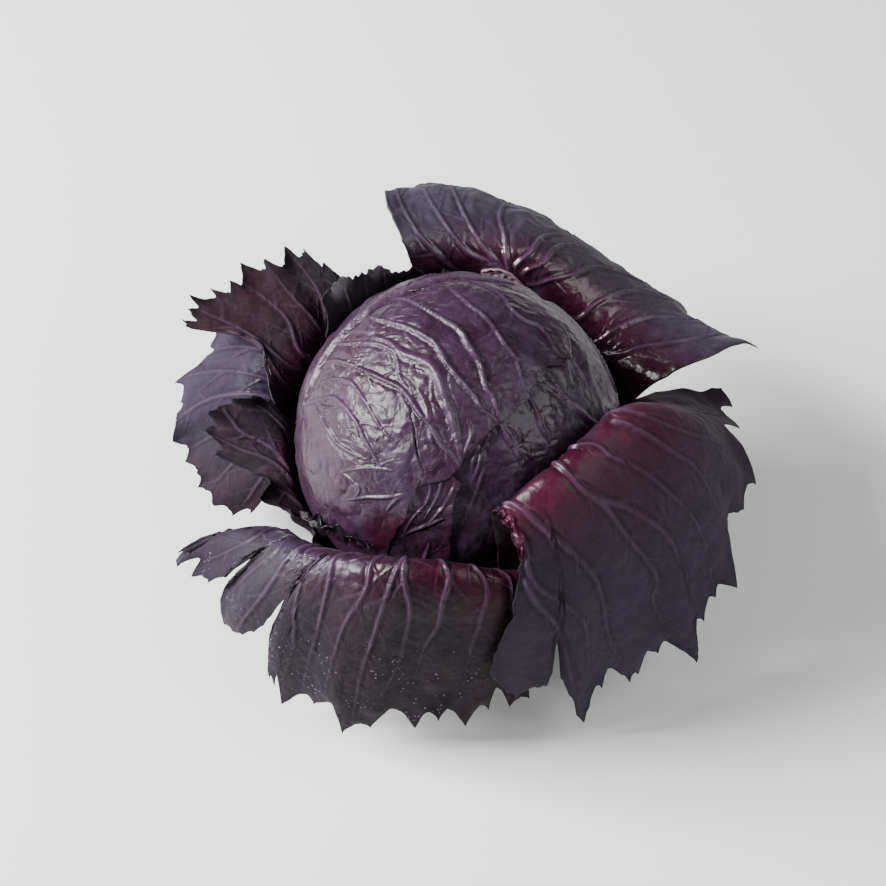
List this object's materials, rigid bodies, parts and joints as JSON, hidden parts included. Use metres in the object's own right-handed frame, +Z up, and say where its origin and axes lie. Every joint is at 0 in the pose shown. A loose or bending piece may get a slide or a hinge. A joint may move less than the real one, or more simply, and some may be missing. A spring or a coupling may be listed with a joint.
{
  "type": "red cabbage head",
  "caption": "Red cabbage with a round tight head, its covering leaves and ribs, and loose toothed outer leaves flopping around it, standing on its cut stem.",
  "frame": {"origin": "middle of the cut stem's flat face, on the surface that the cabbage rests on", "axes": "+Z up along the stem and head, -Y towards the front leaf, +X towards the right-hand leaf"},
  "size_m": [0.2798, 0.2497, 0.1677],
  "materials": {
    "head_skin": "purple leaf skin with paler lilac ribs, waxy satin",
    "leaf_skin": "dark purple leaf with a grey-blue waxy bloom, magenta at the base and folds, satin",
    "stem_flesh": "pale cut stem flesh, matt and slightly dry"
  },
  "bodies": {
    "root": {"head": "head_skin", "stem": "stem_flesh", "leaf_front": "leaf_skin", "leaf_right": "leaf_skin", "leaf_back_right": "leaf_skin", "leaf_back": "leaf_skin", "leaf_back_left": "leaf_skin", "leaf_left_low": "leaf_skin", "leaf_left": "leaf_skin"}
  },
  "joints": []
}
